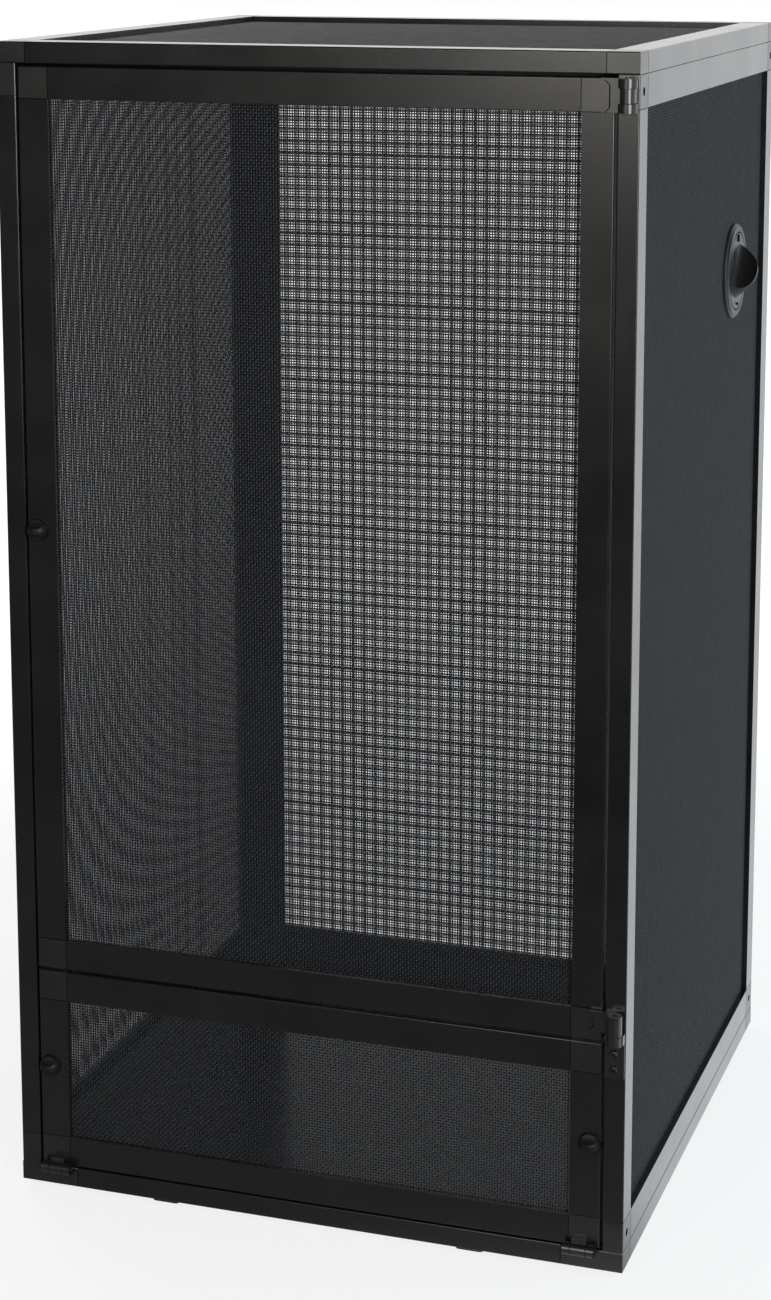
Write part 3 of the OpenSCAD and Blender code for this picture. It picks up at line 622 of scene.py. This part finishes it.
def add_screen(node, inward, sign, across, up, body):
    """Two layers of wires, turned down into the groove at both ends and cut short at the port."""
    low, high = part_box(node)
    into = AXES[inward] * sign
    inner = max(low.dot(into), high.dot(into))
    skirt = abs((high - low).dot(into)) - 2 * WIRE_HALF_T
    hole = None
    if node == "right_mesh":
        hole = sum(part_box("port_flange"), Vector()) / 2
    points, faces, phases = [], [], []
    for layer, (along, crossing, lift) in enumerate(((across, up, WIRE_LIFT), (up, across, -WIRE_LIFT))):
        run, step = AXES[along], AXES[crossing]
        crossed = spread(low, high, run)
        rungs = (run, crossed[0], crossed[1] - crossed[0])
        level = into * (inner - WIRE_HALF_T + lift)
        start, end = low.dot(run) + WIRE_HALF_T, high.dot(run) - WIRE_HALF_T
        for count, place in enumerate(spread(low, high, step), layer):
            base = level + step * place
            first = [base + run * start - into * skirt, base + run * start, base + run * (start + WIRE_HOLD)]
            last = [base + run * (end - WIRE_HOLD), base + run * end, base + run * end - into * skirt]
            aside = place - hole.dot(step) if hole else PORT_HOLE_R
            if abs(aside) < PORT_HOLE_R:
                half = math.sqrt(PORT_HOLE_R ** 2 - aside ** 2)
                for part, rim, way in ((first, hole.dot(run) - half, -1), (last, hole.dot(run) + half, 1)):
                    stop = [base + run * (rim + way * WIRE_HOLD), base + run * rim]
                    path = part + stop if way < 0 else stop[::-1] + part
                    add_wire(points, faces, phases, path, step, rungs, count)
            else:
                add_wire(points, faces, phases, first + last, step, rungs, count)
    mesh = smooth_mesh(node.replace("mesh", "screen"), points, faces)
    mesh.attributes.new(WEAVE, "FLOAT", "POINT").data.foreach_set("value", phases)
    add_piece(mesh, WIRE, body, node)


def add_screens():
    for node, (inward, sign, across, up, body) in SCREENS.items():
        add_screen(node, inward, sign, across, up, body)


# Rubber splines

SPLINE_W = 4.15 * MM
SPLINE_BEND = 2.5 * MM
BEND_STEPS = 4
SPLINE_SIDES = 12
SQUARENESS = 0.75


def rounded_loop(low, high, across, up, bend):
    """Points round a rectangle with rounded corners, each with its outward direction."""
    loop = []
    corners = [(1, 1), (-1, 1), (-1, -1), (1, -1)]
    for number, (right, top) in enumerate(corners):
        x = (high if right > 0 else low).dot(across) - right * bend
        y = (high if top > 0 else low).dot(up) - top * bend
        for step in range(BEND_STEPS + 1):
            turn = math.pi / 2 * (number + step / BEND_STEPS)
            out = across * math.cos(turn) + up * math.sin(turn)
            loop.append((across * x + up * y + out * bend, out))
    return loop


def add_spline(node, inward, across, up, body):
    """A cord with rounded sides that lies in the groove round a panel."""
    low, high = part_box(node)
    across, up, into = AXES[across], AXES[up], AXES[inward]
    height = abs((high - low).dot(into))
    level = into * ((low + high) / 2).dot(into)
    points, faces = [], []
    inset = (across + up) * (SPLINE_W / 2)
    loop = rounded_loop(low + inset, high - inset, across, up, SPLINE_BEND)
    for centre, out in loop:
        for step in range(SPLINE_SIDES):
            turn = 2 * math.pi * step / SPLINE_SIDES
            x = math.copysign(abs(math.cos(turn)) ** SQUARENESS, math.cos(turn))
            y = math.copysign(abs(math.sin(turn)) ** SQUARENESS, math.sin(turn))
            points.append(centre + level + out * (x * SPLINE_W / 2) + into * (y * height / 2))
    count = len(loop)
    for ring in range(count):
        low_ring, next_ring = ring * SPLINE_SIDES, (ring + 1) % count * SPLINE_SIDES
        for step in range(SPLINE_SIDES):
            other = (step + 1) % SPLINE_SIDES
            faces.append((low_ring + step, next_ring + step, next_ring + other, low_ring + other))
    add_piece(smooth_mesh(node + "_bead", points, faces), RUBBER, body, node)


def add_splines():
    for node, (inward, _, across, up, body) in SCREENS.items():
        add_spline(node.replace("mesh", "spline"), inward, across, up, body)


# Screws with cross recesses

SCREW_STEPS = 32
THREAD_TURNS = 7
DOME_STEPS = 4
# Shares of the shank's radius and length
TIP_R = 0.6
THREAD_START, THREAD_RUN = 0.85, 0.8
ROOT_R, ROOT_STEP = 0.8, 0.4
# Shares of the head's radius and height
UNDER_R = 0.97
UNDER_H, SIDE_H = 0.12, 0.35
FLAT_TOP = 0.72
CROSS_ARM, CROSS_HALF, CROSS_DEPTH = 0.56, 0.13, 0.62
# Shares of the cross that its floor keeps
PIT_X, PIT_Y = 0.75, 0.8

# Head radius, head height, shank radius, shank length
PANEL_SCREW = (2.4 * MM, 1.8 * MM, 1.4 * MM, 7 * MM)
BRACKET_SCREW = (2.75 * MM, 2.2 * MM, 1.45 * MM, 8 * MM)
LATCH_SCREW = (2.5 * MM, 1.5 * MM, 1 * MM, 8 * MM)
PORT_SCREW = (2.2 * MM, 1.8 * MM, 1 * MM, 4.8 * MM)


def screw_profile(head_r, head_h, shank_r, shank_l):
    """Radius and height of each ring, from the tip to the head's flat top."""
    profile = [(shank_r * TIP_R, -shank_l)]
    for step in range(THREAD_TURNS):
        height = -shank_l * (THREAD_START - THREAD_RUN * step / THREAD_TURNS)
        profile.append((shank_r, height))
        profile.append((shank_r * ROOT_R, height + shank_l * ROOT_STEP / THREAD_TURNS))
    profile += [(shank_r, 0), (head_r * UNDER_R, 0), (head_r, head_h * UNDER_H), (head_r, head_h * SIDE_H)]
    for step in range(1, DOME_STEPS + 1):
        turn = step / DOME_STEPS * math.pi / 2
        radius = head_r * (FLAT_TOP + (1 - FLAT_TOP) * math.cos(turn))
        profile.append((radius, head_h * (SIDE_H + (1 - SIDE_H) * math.sin(turn))))
    return profile


def cross_outline(head_r):
    """Corners of the recess in the head's flat top."""
    arm, half = CROSS_ARM * head_r, CROSS_HALF * head_r
    outline = []
    for quarter in range(4):
        turn = quarter * math.pi / 2
        for x, y in ((arm, -half), (arm, half), (half, half)):
            outline.append((x * math.cos(turn) - y * math.sin(turn), x * math.sin(turn) + y * math.cos(turn)))
    return outline


def add_screw(bm, place, out, size):
    """One screw whose head stands out from place, with the shank behind it."""
    head_r, head_h = size[:2]
    spin = out.to_track_quat("Z", "Y").to_matrix()

    def at(x, y, height):
        return bm.verts.new(place + spin @ Vector((x, y, height)))

    turns = [2 * math.pi / SCREW_STEPS * step for step in range(SCREW_STEPS)]
    rings = []
    for radius, height in screw_profile(*size):
        rings.append([at(radius * math.cos(turn), radius * math.sin(turn), height) for turn in turns])
    for lower, upper in zip(rings, rings[1:]):
        for step in range(SCREW_STEPS):
            other = (step + 1) % SCREW_STEPS
            bm.faces.new((lower[step], lower[other], upper[other], upper[step]))
    bm.faces.new(list(reversed(rings[0])))
    outline = cross_outline(head_r)
    rim = [at(x, y, head_h) for x, y in outline]
    pit = [at(x * PIT_X, y * PIT_Y, head_h * (1 - CROSS_DEPTH)) for x, y in outline]
    count = len(rim)
    for step in range(count):
        other = (step + 1) % count
        bm.faces.new((rim[other], rim[step], pit[step], pit[other]))
    bm.faces.new(pit)
    top = rings[-1]
    edges = [bm.edges.get((top[step], top[(step + 1) % SCREW_STEPS])) for step in range(SCREW_STEPS)]
    edges += [bm.edges.get((rim[step], rim[(step + 1) % count])) for step in range(count)]
    bmesh.ops.triangle_fill(bm, use_beauty=True, use_dissolve=False, edges=edges, normal=out)


def add_screws(node, places, size, body):
    """Screws that stand for a node; places are pairs of a place and the direction that the head faces."""
    bm = bmesh.new()
    for place, out in places:
        add_screw(bm, place, out, size)
    bmesh.ops.recalc_face_normals(bm, faces=bm.faces)
    mesh = bpy.data.meshes.new(node + "_cross")
    bm.to_mesh(mesh)
    bm.free()
    add_piece(mesh, STEEL, body, node)


def add_all_screws():
    """Places the screws by the boxes of the solids that they stand for."""
    low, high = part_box("panel_screws")
    radius, height = PANEL_SCREW[:2]
    places = []
    for side in (-1, 1):
        for y in (low.y + radius, high.y - radius):
            for z in (low.z + radius, high.z - radius):
                places.append((Vector((side * (high.x - height), y, z)), AXES["x"] * side))
    add_screws("panel_screws", places, PANEL_SCREW, "cage")

    low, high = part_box("bracket_screws")
    radius, height = BRACKET_SCREW[:2]
    middle = (low.x + high.x) / 2
    heights = (low.z + radius, high.z - radius)
    places = [(Vector((middle, low.y + height, z)), -AXES["y"]) for z in heights]
    add_screws("bracket_screws", places, BRACKET_SCREW, "cage")

    for latch in LATCHES:
        low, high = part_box(f"{latch}_screw")
        place = Vector(((low.x + high.x) / 2, high.y - LATCH_SCREW[1], (low.z + high.z) / 2))
        add_screws(f"{latch}_screw", [(place, AXES["y"])], LATCH_SCREW, latch)

    low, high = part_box("port_screws")
    radius, height = PORT_SCREW[:2]
    places = []
    for y in (low.y + radius, high.y - radius):
        for z in (low.z + radius, high.z - radius):
            places.append((Vector((low.x + height, y, z)), -AXES["x"]))
    add_screws("port_screws", places, PORT_SCREW, "cage")


# Painted shade: a dark rubber flap in the lid, behind the gap over the upper door, standing in for the shade
# in that gap

LID_TUBE = 14 * MM
SIDE_T = 13.5 * MM
FLAP_T = 1.3 * MM
FLAP_UP = 6 * MM
FLAP_DOWN = 2.5 * MM
BULB_R = 1.1 * MM
BULB_STEPS = 10
BULB_TURN = 1.4 * math.pi


def add_gap_shade_flap():
    """A flap on the lid's front rail, with a bulb along its lower edge; a dark piece that stands in for the
    shade in the gap.
    """
    lid_low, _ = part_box("lid_rails")
    _, door_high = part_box("upper_door_rails")
    side_low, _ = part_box("left_stiles")
    wall = lid_low.y + LID_TUBE
    half = -side_low.x - SIDE_T
    top, bottom = lid_low.z + FLAP_UP, door_high.z - FLAP_DOWN
    profile = [(wall, top), (wall, bottom)]
    for step in range(1, BULB_STEPS):
        turn = math.pi + BULB_TURN * step / BULB_STEPS
        y = wall + BULB_R + BULB_R * math.cos(turn)
        z = bottom - BULB_R + BULB_R * math.sin(turn)
        profile.append((y, z))
    profile += [(wall + FLAP_T, bottom), (wall + FLAP_T, top)]
    count = len(profile)
    points = [(x, y, z) for x in (-half, half) for y, z in profile]
    faces = [tuple(range(count)), tuple(reversed(range(count, 2 * count)))]
    for step in range(count):
        other = (step + 1) % count
        faces.append((step, count + step, count + other, other))
    add_piece(smooth_mesh("door_gap_shade", points, faces), RUBBER, "cage")


# Painted shade: thin dark strips where rails meet corner pieces, standing in for the shadow in the gaps there

SHADE_LINE_HALF = 0.25 * MM
SHADE_RISE = 0.02 * MM
SHADE_SINK = 0.3 * MM
SEAM_NEAR = 0.02 * MM
SEAM_DIGITS = 6
RAIL_FLAT = 18 * MM
SHADE_LINES = {
    # body: (node, outward axis, its signs, axis along the rails, axis across them)
    "cage": [("lid_rails", "y", (-1, 1), "x", "z"), ("lid_side_rails", "x", (-1, 1), "y", "z"),
             ("base_rails", "y", (-1, 1), "x", "z"), ("base_side_rails", "x", (-1, 1), "y", "z"),
             ("left_rails", "x", (-1,), "y", "z"), ("left_stiles", "x", (-1,), "z", "y"),
             ("right_rails", "x", (1,), "y", "z"), ("right_stiles", "x", (1,), "z", "y"),
             ("back_rails", "y", (1,), "x", "z"), ("back_stiles", "y", (1,), "z", "x")],
    "upper_door": [("upper_door_rails", "y", (-1,), "x", "z"),
                   ("upper_door_hinge_stile", "y", (-1,), "z", "x"),
                   ("upper_door_latch_stile", "y", (-1,), "z", "x")],
    "lower_door": [("lower_door_rails", "y", (-1,), "x", "z"), ("lower_door_stiles", "y", (-1,), "z", "x")],
}


def add_seams():
    """A thin dark block across each rail's outer face at both of its ends, as painted shade of the gap at the
    corner piece.
    """
    for body, rows in SHADE_LINES.items():
        points, faces = [], []
        for node, out, signs, run, across in rows:
            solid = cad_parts[node]
            corners = [solid.matrix_world @ vertex.co for vertex in solid.data.vertices]
            out, run, across = AXES[out], AXES[run], AXES[across]
            for sign in signs:
                face = max(corner.dot(out) * sign for corner in corners)
                flat = [corner for corner in corners if corner.dot(out) * sign > face - SEAM_NEAR]
                ends = sorted(corner.dot(run) for corner in flat)
                edges = sorted(corner.dot(across) for corner in flat)
                width = min(edges[-1] - edges[0], RAIL_FLAT)
                starts = {round(start, SEAM_DIGITS) for start in (edges[0], edges[-1] - width)}
                for end in (ends[0], ends[-1]):
                    for start in sorted(starts):
                        corner = out * (sign * (face + SHADE_RISE)) + run * (end - SHADE_LINE_HALF) + across * start
                        sides = (run * (2 * SHADE_LINE_HALF), across * width, out * (-sign * SHADE_SINK))
                        add_block(points, faces, corner, sides)
        add_dark_piece(f"{body}_seams", points, faces, body)


# Painted shade: dark lines along the upper hinge leaf and round the port's cap, and the cap's dark marks

RAIL_W = 20 * MM
LEAF_LINE_X = 189 * MM
LEAF_LINE_W = 0.8 * MM
LEAF_INSET = 1.2 * MM
LEAF_FRONT = 3.85 * MM
LEAF_FLARE = 2.9 * MM
PORT_RING_R = 26.65 * MM
PORT_RING_HALF = 0.55 * MM
PORT_STEPS = 72
MARK_PLACE = 22.75 * MM
MARK_L, MARK_W = 5 * MM, 1.4 * MM
MARK_DEEP, MARK_RISE = 0.6 * MM, 0.9 * MM
DOT_R = 1 * MM
DOT_STEPS = 20


def add_leaf_shadow_line():
    """Painted shadow: a dark line down the upper hinge leaf's edge, bent out at both ends."""
    rail_low, rail_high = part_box("upper_door_rails")
    top, front = rail_high.z, rail_low.y - LEAF_FRONT
    path = [(-LEAF_FLARE, -LEAF_INSET), (0, -LEAF_INSET - LEAF_FLARE),
            (0, LEAF_FLARE - RAIL_W), (-LEAF_FLARE, -RAIL_W)]
    edge = [Vector((LEAF_LINE_X + x, front - SHADE_RISE, top + z)) for x, z in path]
    outline = edge + [point + AXES["x"] * LEAF_LINE_W for point in reversed(edge)]
    points, faces = [], []
    add_prism(points, faces, outline, AXES["y"] * SHADE_SINK)
    add_dark_piece("leaf_shadow_line", points, faces, "upper_door")


def add_port_shade_and_marks():
    """Painted shade in the gap round the cap, and the dark marks at the top and the bottom of its disc."""
    low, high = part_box("port_flange")
    middle = (low + high) / 2
    points, faces = [], []
    # Painted shade: a near-black ring that stands in for the shade in the gap between flange and cap
    outer, inner = PORT_RING_R + PORT_RING_HALF, PORT_RING_R - PORT_RING_HALF
    corners = [(outer, SHADE_RISE), (outer, -SHADE_SINK), (inner, -SHADE_SINK), (inner, SHADE_RISE)]
    for step in range(PORT_STEPS):
        turn = 2 * math.pi * step / PORT_STEPS
        for radius, rise in corners:
            y, z = middle.y + radius * math.cos(turn), middle.z + radius * math.sin(turn)
            points.append((high.x + rise, y, z))
    count = len(corners)
    for step in range(PORT_STEPS):
        here, there = step * count, (step + 1) % PORT_STEPS * count
        for corner in range(count):
            other = (corner + 1) % count
            faces.append((here + corner, here + other, there + other, there + corner))
    add_dark_piece("port_gap_shade", points, faces, "cage")

    points, faces = [], []
    depth = AXES["x"] * (MARK_DEEP + MARK_RISE)
    floor = Vector((high.x - MARK_DEEP, middle.y, middle.z))
    slot = [floor + Vector((0, y * MARK_W / 2, MARK_PLACE + z * MARK_L / 2))
            for y, z in ((-1, -1), (1, -1), (1, 1), (-1, 1))]
    add_prism(points, faces, slot, depth)
    turns = [2 * math.pi * step / DOT_STEPS for step in range(DOT_STEPS)]
    dot = [floor + Vector((0, DOT_R * math.cos(turn), DOT_R * math.sin(turn) - MARK_PLACE)) for turn in turns]
    add_prism(points, faces, dot, depth)
    add_dark_piece("port_marks", points, faces, "port_cap")


make_camera()
make_world()
make_lamps()
make_floor()
dress_solids()
add_screens()
add_splines()
add_all_screws()
add_gap_shade_flap()
add_seams()
add_leaf_shadow_line()
add_port_shade_and_marks()
